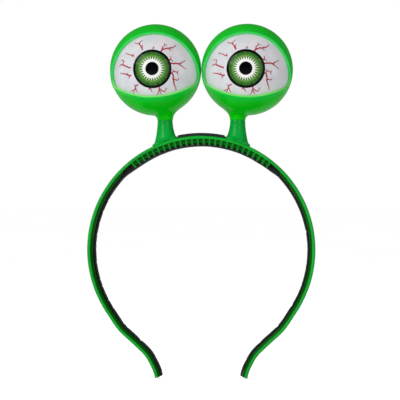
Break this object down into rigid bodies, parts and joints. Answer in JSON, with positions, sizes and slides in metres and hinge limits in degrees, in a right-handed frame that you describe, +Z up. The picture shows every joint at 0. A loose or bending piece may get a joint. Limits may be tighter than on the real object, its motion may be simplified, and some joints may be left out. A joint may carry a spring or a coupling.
{
  "type": "light-up eyeball bopper headband",
  "caption": "Plastic costume headband with a comb and curled tips, carrying two light-up monster eyeballs on short flexible stalks",
  "frame": {"origin": "centre of the head ring, on the axis of the crown pad's inner wall", "axes": "+Z up through the crown between the eyeballs, +X to the viewer's right when the eyes face the viewer, the eyes look along -Y"},
  "size_m": [0.1326, 0.0513, 0.2061],
  "materials": {
    "green_band": "moulded green plastic, semi-gloss",
    "green_post": "moulded green plastic, semi-gloss",
    "green_shell": "translucent green plastic, glossy",
    "liner": "charcoal foam-backed cloth",
    "charcoal_plastic": "matte charcoal plastic",
    "wire_sleeve": "soft insulated wire",
    "screw_steel": "zinc plated",
    "spring_steel": "bright spring steel",
    "eye_white": "translucent white plastic with printed veins",
    "iris_print": "printed label, clear coated",
    "circuit_board": "green solder mask",
    "chip_black": "black epoxy",
    "led_lens": "clear epoxy lens",
    "cell_steel": "nickel-plated steel",
    "button_green": "satin"
  },
  "bodies": {
    "band": {"headband_crown": "green_band", "crown_pad": "liner", "wire_cover": "charcoal_plastic", "crown_wires": "wire_sleeve", "stem_post_left": "green_post", "stem_post_right": "green_post", "stem_screws": "screw_steel"},
    "arm_left": {"headband_arm_left": "green_band", "arm_liner_left": "liner"},
    "arm_right": {"headband_arm_right": "green_band", "arm_liner_right": "liner"},
    "neck_left": {"neck_spring_left": "spring_steel"},
    "neck_right": {"neck_spring_right": "spring_steel"},
    "eye_left": {"lid_shell_left": "green_shell", "rear_shell_left": "green_shell", "eyeball_dome_left": "eye_white", "iris_label_left": "iris_print", "led_board_left": "circuit_board", "board_screws_left": "screw_steel", "leds_left": "led_lens", "led_leads_left": "wire_sleeve", "flasher_chip": "chip_black", "battery_tray": "charcoal_plastic", "button_cells": "cell_steel", "contact_plate": "spring_steel", "contact_spring": "spring_steel", "tact_switch": "chip_black"},
    "eye_right": {"lid_shell_right": "green_shell", "rear_shell_right": "green_shell", "eyeball_dome_right": "eye_white", "iris_label_right": "iris_print", "led_board_right": "circuit_board", "board_screws_right": "screw_steel", "leds_right": "led_lens", "led_leads_right": "wire_sleeve"},
    "door": {"battery_door": "green_shell", "door_screw": "screw_steel"},
    "button": {"push_button": "button_green"}
  },
  "joints": [
    {"name": "left_arm_flex", "type": "hinge", "parent": "band", "child": "arm_left", "pos_m": [-0.05542, 0, 0.03463], "axis": [0, 1, 0], "range_deg": [0, 12], "stiffness_Nm_per_rad": 1.2},
    {"name": "right_arm_flex", "type": "hinge", "parent": "band", "child": "arm_right", "pos_m": [0.05542, 0, 0.03463], "axis": [0, -1, 0], "range_deg": [0, 12], "stiffness_Nm_per_rad": 1.2},
    {"name": "left_eye_rock", "type": "hinge", "parent": "band", "child": "neck_left", "pos_m": [-0.0212, 0, 0.0745], "axis": [0, -1, 0], "range_deg": [0, 12], "stiffness_Nm_per_rad": 0.12},
    {"name": "left_eye_nod", "type": "hinge", "parent": "neck_left", "child": "eye_left", "pos_m": [-0.0212, 0, 0.0745], "axis": [1, 0, 0], "range_deg": [-12, 12], "stiffness_Nm_per_rad": 0.12},
    {"name": "right_eye_rock", "type": "hinge", "parent": "band", "child": "neck_right", "pos_m": [0.0212, 0, 0.0745], "axis": [0, 1, 0], "range_deg": [0, 12], "stiffness_Nm_per_rad": 0.12},
    {"name": "right_eye_nod", "type": "hinge", "parent": "neck_right", "child": "eye_right", "pos_m": [0.0212, 0, 0.0745], "axis": [1, 0, 0], "range_deg": [-12, 12], "stiffness_Nm_per_rad": 0.12},
    {"name": "battery_door_lift", "type": "slide", "parent": "eye_left", "child": "door", "axis": [0, 1, 0], "range_m": [0, 0.016]},
    {"name": "button_press", "type": "slide", "parent": "eye_left", "child": "button", "axis": [0, -0.7806, -0.625], "range_m": [0, 0.0008], "stiffness_N_per_m": 60}
  ]
}
